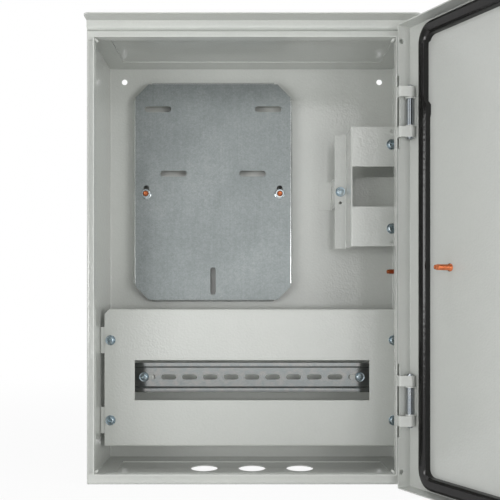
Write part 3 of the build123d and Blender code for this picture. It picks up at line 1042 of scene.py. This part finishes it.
@dataclass
class FoamGasket:
    """Poured foam bead round the door, whose ends overlap in a bulge on the hinge side; its section is in mm."""

    left: float = -169.8 * MM
    right: float = 150.3 * MM
    hinge_width: float = 10.6 * MM
    top: float = 234.8 * MM
    bottom: float = -238.3 * MM
    face_y: float = -149.3 * MM
    corner: float = 21.5 * MM
    corner_steps: int = 12
    hinge_x: float = 163.5 * MM
    hinge_y: float = -143.8 * MM
    joint_z: float = 147.0 * MM
    joint_half: float = 9.0 * MM
    joint_reach: float = 20.0 * MM
    joint_cuts: tuple[float, ...] = (-1.0, -0.55, 0.0, 0.55, 1.0, 1.6, 7.5)
    swell_range: Span = (-0.6, 0.6)
    swell: Point = (1.10, 1.03, 1.0)
    draw_range: Span = (0.9, 7.6)
    draw_in: Point = (0.78, 0.97, 1.0)
    section: Profile = (
        (0.0, 0.0),
        (0.1, 2.5),
        (0.3, 4.6),
        (0.7, 6.2),
        (1.5, 7.3),
        (2.9, 7.9),
        (5.2, 8.0),
        (10.7, 8.0),
        (10.9, 7.98),
        (11.1, 7.86),
        (11.3, 7.76),
        (12.9, 6.98),
        (13.05, 6.85),
        (13.25, 5.6),
        (13.4, 3.3),
        (13.5, 0.0),
    )

    @property
    def width(self) -> float:
        """Full width of the bead."""
        return self.section[-1][0] * MM

    def build(self) -> bpy.types.Object:
        """Shape the bead from one rounded sheet by repeated insets, then swing it open.

        Returns:
            The bead on the open door.
        """
        bead = self._rounded_sheet()
        for (start_in, start_up), (end_in, end_up) in pairwise(self.section):
            inwards, upwards = (end_in - start_in) * MM, (end_up - start_up) * MM
            bpy.ops.mesh.inset(thickness=inwards, depth=upwards, use_even_offset=True)
        bpy.ops.mesh.delete(type="ONLY_FACE")
        bpy.ops.mesh.select_all(action="DESELECT")
        bpy.ops.mesh.select_mode(type=Pick.EDGES.value)
        bpy.ops.mesh.select_non_manifold()
        bpy.ops.mesh.bridge_edge_loops()
        self._narrow(bead)
        self._joint(bead)
        Bench.tidy_open_mesh()
        Bench.done()
        Bench.smooth(bead, 60.0)
        bead.data.transform(self._swing())
        return bead

    def _rounded_sheet(self) -> bpy.types.Object:
        """Flat outline of the bead on the shut door, facing inwards.

        Returns:
            The sheet, open in edit mode with its face selected.
        """
        Bench.clear()
        right = self.right - self.hinge_width + self.width
        centre = ((self.left + right) / 2, self.face_y, (self.top + self.bottom) / 2)
        bpy.ops.mesh.primitive_plane_add(size=1.0, location=centre, rotation=(-math.pi / 2, 0, 0))
        bead = bpy.context.object
        bead.scale = (right - self.left, self.top - self.bottom, 1.0)
        bead.name = "foam_gasket"
        bpy.ops.object.transform_apply(location=True, rotation=True, scale=True)
        Bench.edit(bead)
        bpy.ops.mesh.select_all(action="SELECT")
        bpy.ops.mesh.bevel(offset=self.corner, offset_type="OFFSET", segments=self.corner_steps, affect="VERTICES")
        Bench.pick(bead, Pick.FACES, lambda face: True)
        return bead

    def _narrow(self, bead: bpy.types.Object) -> None:
        """Draw in the hinge-side run, so that it clears the hinge arms.

        Args:
            bead: The bead, open in edit mode.
        """
        inner = self.right - self.hinge_width
        share = self.hinge_width / self.width
        Bench.pick(bead, Pick.POINTS, lambda point: point.co.x > inner)
        bpy.ops.transform.resize(value=(share, 1.0, 1.0), center_override=(inner, self.face_y, 0))

    def _joint(self, bead: bpy.types.Object) -> None:
        """Swell the bead where the pour ends overlap, and draw it in above that place.

        Args:
            bead: The bead, open in edit mode.
        """
        for step in self.joint_cuts:
            bpy.ops.mesh.select_all(action="SELECT")
            cut_z = self.joint_z + step * self.joint_half
            bpy.ops.mesh.bisect(plane_co=(0, 0, cut_z), plane_no=(0, 0, 1), use_fill=False)
        self._resize_run(bead, self.swell_range, self.swell)
        self._resize_run(bead, self.draw_range, self.draw_in)

    def _resize_run(self, bead: bpy.types.Object, span: Span, share: Point) -> None:
        """Resize a stretch of the hinge-side run about its outer edge.

        Args:
            bead: The bead, open in edit mode.
            span: Lower and upper end of the stretch, in half lengths of the joint.
            share: New size along each axis.
        """
        edge_x = self.right - self.joint_reach
        low, high = (self.joint_z + step * self.joint_half for step in span)
        Bench.pick(bead, Pick.POINTS, lambda point: point.co.x > edge_x and low < point.co.z < high)
        bpy.ops.transform.resize(value=share, center_override=(self.right, self.face_y, self.joint_z))

    def _swing(self) -> Matrix:
        """Turn about the hinge from shut to the open rest position."""
        pivot = Matrix.Translation((self.hinge_x, self.hinge_y, 0))
        return pivot @ Matrix.Rotation(math.radians(OPEN_DEGREES), 4, "Z") @ pivot.inverted()

    def dress(self, material: bpy.types.Material) -> None:
        """Build the gasket and put it on the door."""
        bead = Bench.dress(self.build(), material, Body.DOOR, Slot.FOAM, ["door_gasket"])


@dataclass
class CornerWelds:
    """Small weld beads, painted over: in the four corners of the mouth and beside the breaker rail."""

    left: float = -163.6 * MM
    right: float = 147.6 * MM
    height: float = 226.0 * MM
    front: float = -136.0 * MM
    size: Point = (1.8 * MM, 1.8 * MM, 3.0 * MM)
    flattened: Point = (0.85, 0.7, 0.85)
    rail_spot: Point = (97.2 * MM, -9.0 * MM, 66.8 * MM)
    rail_share: float = 0.6

    def build(self) -> bpy.types.Object:
        """Model one flattened bead and copy it into the corners and beside the rail.

        Returns:
            The five welds.
        """
        Bench.clear()
        bpy.ops.mesh.primitive_uv_sphere_add(segments=20, ring_count=12, radius=1.0)
        bead = bpy.context.object
        Bench.edit(bead)
        bpy.ops.mesh.select_all(action="SELECT")
        bpy.ops.transform.resize(value=self.size)
        Bench.pick(bead, Pick.POINTS, lambda point: point.co.y < 0)
        bpy.ops.transform.resize(value=self.flattened)
        Bench.done()
        Bench.smooth(bead, 60.0)
        places = []
        for x, side in ((self.left, -1), (self.right, 1)):
            for end in (-1, 1):
                spot = Matrix.Translation((x, self.front, end * self.height))
                places.append(spot @ Matrix.Rotation(side * end * math.pi / 4, 4, "Y"))
        places.append(Matrix.Translation(self.rail_spot) @ Matrix.Scale(self.rail_share, 4))
        return Bench.copies(bead, places, "corner_welds")

    def dress(self, material: bpy.types.Material) -> None:
        """Build the welds and put them on the enclosure."""
        Bench.dress(self.build(), material, Body.ENCLOSURE, Slot.PAINT)


@dataclass
class Paintwork:
    """Finishes of the CAD nodes that stay as they are."""

    by_slot: dict[Slot, bpy.types.Material]
    by_node: dict[str, bpy.types.Material]

    def dress(self) -> None:
        """Give every CAD node its own finish, or else that of its slot."""
        for part in frame["record"]["subparts"]:
            node = frame["nodes"][part["node"]]
            of_slot = self.by_slot[Slot(part["material_slot"])]
            node.data.materials.clear()
            node.data.materials.append(self.by_node.get(part["node"], of_slot))


@dataclass
class Lamp:
    """One soft area light."""

    name: str
    place: Point
    aim: Point
    watts: float
    width: float
    height: float

    def build(self) -> None:
        """Add the light to the scene."""
        light = bpy.data.lights.new(self.name, "AREA")
        light.energy = self.watts
        light.shape = "RECTANGLE"
        light.size = self.width
        light.size_y = self.height
        obj = bpy.data.objects.new(self.name, light)
        bpy.context.scene.collection.objects.link(obj)
        obj.location = self.place
        obj.rotation_euler = (Vector(self.aim) - Vector(self.place)).to_track_quat("-Z", "Y").to_euler()


@dataclass
class Studio:
    """White studio: camera at the photograph's place, floor, backdrop and soft lights."""

    eye: Point = (-0.0029, -0.911, -0.043)
    lens: float = 53.28
    sensor: float = 36.0
    shift: Span = (0.001, 0.094)
    near: float = 0.01
    ambient: float = 0.2
    room: float = 0.35
    room_range: Span = (-0.35, 0.05)
    floor_z: float = -0.2425
    floor_size: float = 14.0
    floor_tone: Colour = (0.92, 0.92, 0.92)
    shadow_range: Span = (0.25, 1.1)
    shadow_white: float = 0.93
    lamps: tuple[Lamp, ...] = (
        Lamp("softbox", (0.015, -1.5, 0.25), (0.015, -0.1, 0.25), 2.6, 0.65, 0.94),
        Lamp("front_left", (-1.0, -1.5, -0.02), (0.0, -0.1, -0.02), 7.4, 0.9, 0.4),
        Lamp("front_right", (1.0, -1.5, -0.02), (0.0, -0.1, -0.02), 8.7, 0.9, 0.4),
        Lamp("far_left", (-1.8, -0.9, 0.45), (0.0, -0.1, 0.0), 5.2, 1.4, 1.3),
        Lamp("far_right", (1.8, -1.2, 0.62), (0.0, -0.1, 0.0), 19.0, 2.0, 1.6),
        Lamp("overhead", (0.0, -0.3, 1.6), (0.0, -0.1, 0.0), 9.1, 1.0, 1.0),
    )

    def build(self) -> None:
        """Set up the camera, the lights, the backdrop and the floor."""
        bpy.context.scene.view_settings.view_transform = "Standard"
        self._camera()
        for lamp in self.lamps:
            lamp.build()
        self._backdrop()
        self._floor()

    def _camera(self) -> None:
        """Level camera that looks straight into the box."""
        lens = bpy.data.cameras.new("camera")
        lens.lens, lens.sensor_width = self.lens, self.sensor
        lens.shift_x, lens.shift_y = self.shift
        lens.clip_start = self.near
        camera = bpy.data.objects.new("camera", lens)
        bpy.context.scene.collection.objects.link(camera)
        camera.location = self.eye
        camera.rotation_euler = (math.pi / 2, 0, 0)
        bpy.context.scene.camera = camera

    @staticmethod
    def _seen(graph: Graph) -> Value:
        """Mask of the rays that show the background.

        Args:
            graph: Node tree of the floor or the backdrop.

        Returns:
            One for camera, glossy and transmission rays, else zero.
        """
        rays = graph.node("ShaderNodeLightPath").outputs
        seen = [Value(graph, rays[name]) for name in ("Is Camera Ray", "Is Glossy Ray", "Is Transmission Ray")]
        return (seen[0] + seen[1] + seen[2]).above(0.5)

    def _backdrop(self) -> None:
        """White where it is seen, a darker room in mirrors from behind the camera, plain ambient light elsewhere."""
        world = bpy.data.worlds.new("studio")
        world.use_nodes = True
        bpy.context.scene.world = world
        graph = Graph(world.node_tree)
        mirrored = graph.fade(graph.axis("Object", "Y"), *self.room_range, low=self.room)
        straight = graph.value("ShaderNodeLightPath", None, {}, "Is Camera Ray")
        white = mirrored + straight * (1.0 - mirrored)
        strength = self._seen(graph) * (white - self.ambient) + self.ambient
        light = graph.node("ShaderNodeBackground", None, {"Color": WHITE, "Strength": strength})
        graph.node("ShaderNodeOutputWorld", None, {"Surface": light.outputs[0]})

    def _floor(self) -> None:
        """Pale floor that keeps a faint shadow."""
        Bench.clear()
        bpy.ops.mesh.primitive_plane_add(size=self.floor_size, location=(0, 0, self.floor_z))
        floor = bpy.context.object
        floor.name = "floor"
        material = bpy.data.materials.new("pale_floor")
        material.use_nodes = True
        graph = Graph(material.node_tree)
        matt = graph.node("ShaderNodeBsdfDiffuse", None, {"Color": self.floor_tone})
        glow = graph.node("ShaderNodeEmission", None, {"Color": WHITE, "Strength": 1.0})
        where = graph.node("ShaderNodeTexCoord").outputs["Object"]
        reach = graph.value("ShaderNodeVectorMath", {"operation": "LENGTH"}, {0: where}, "Value")
        white = self._seen(graph) * graph.fade(reach, *self.shadow_range, low=self.shadow_white)
        both = graph.node("ShaderNodeMixShader", None, {0: white, 1: matt.outputs[0], 2: glow.outputs[0]})
        graph.node("ShaderNodeOutputMaterial", None, {"Surface": both.outputs[0]})
        floor.data.materials.append(material)


def main() -> None:
    """Build the enclosure's looks in order."""
    logging.basicConfig(level=logging.INFO, format="%(name)s: %(message)s")
    paint = PowderCoat("grey_powder_coat").make()
    foam = FoamSkin("poured_foam").make()
    copper = Plated("copper_flash", (0.66, 0.21, 0.085), (0.50, 0.13, 0.045), metal=0.75, roughness=0.2).make()
    chrome = Plated("satin_chrome", (0.62, 0.63, 0.64), (0.56, 0.57, 0.58), roughness=0.2).make()
    blue_zinc = Plated("blue_zinc", (0.31, 0.39, 0.44), (0.42, 0.47, 0.48), roughness=0.27).make()
    nut_zinc = Plated("nut_zinc", (0.40, 0.46, 0.49), (0.52, 0.55, 0.54), roughness=0.12).make()
    pin_zinc = Plated("pin_zinc", (0.30, 0.33, 0.36), (0.36, 0.38, 0.39), roughness=0.16).make()
    rail_zinc = Plated("rail_zinc", (0.27, 0.29, 0.29), (0.32, 0.32, 0.31), metal=0.9, roughness=0.15).make()
    by_slot = {
        Slot.PAINT: paint,
        Slot.ZINC: Plated("bright_zinc").make(),
        Slot.GALVANISED: Galvanised("galvanised_sheet").make(),
        Slot.COPPER: copper,
        Slot.FOAM: foam,
        Slot.LOCK: chrome,
    }
    by_node = {"din_rail": rail_zinc, "upper_hinge_pin": pin_zinc, "lower_hinge_pin": pin_zinc}
    Paintwork(by_slot, by_node).dress()
    PanScrews("cover_screws", "cover_screw_set").dress(blue_zinc)
    PanScrews("rail_screws", "rail_screw_pair", turns=(12.0, 40.0)).dress(blue_zinc)
    PanScrews("breaker_cover_screws", "breaker_cover_screw_set", turns=(35.0, -15.0, 22.0)).dress(blue_zinc)
    FlangeNuts().dress(nut_zinc)
    ThreadedStuds("plate_studs", "plate_stud_pair", Body.ENCLOSURE, Way.FRONT, 23.7 * MM).dress(copper)
    ThreadedStuds("wall_earth_stud", "wall_earth_thread", Body.ENCLOSURE, Way.LEFT, 20.0 * MM).dress(copper)
    ThreadedStuds("door_earth_stud", "door_earth_thread", Body.DOOR, Way.DOOR_INSIDE, 20.0 * MM).dress(copper)
    FoamGasket().dress(foam)
    CornerWelds().dress(paint)
    Studio().build()


if __name__ == "__main__":
    main()
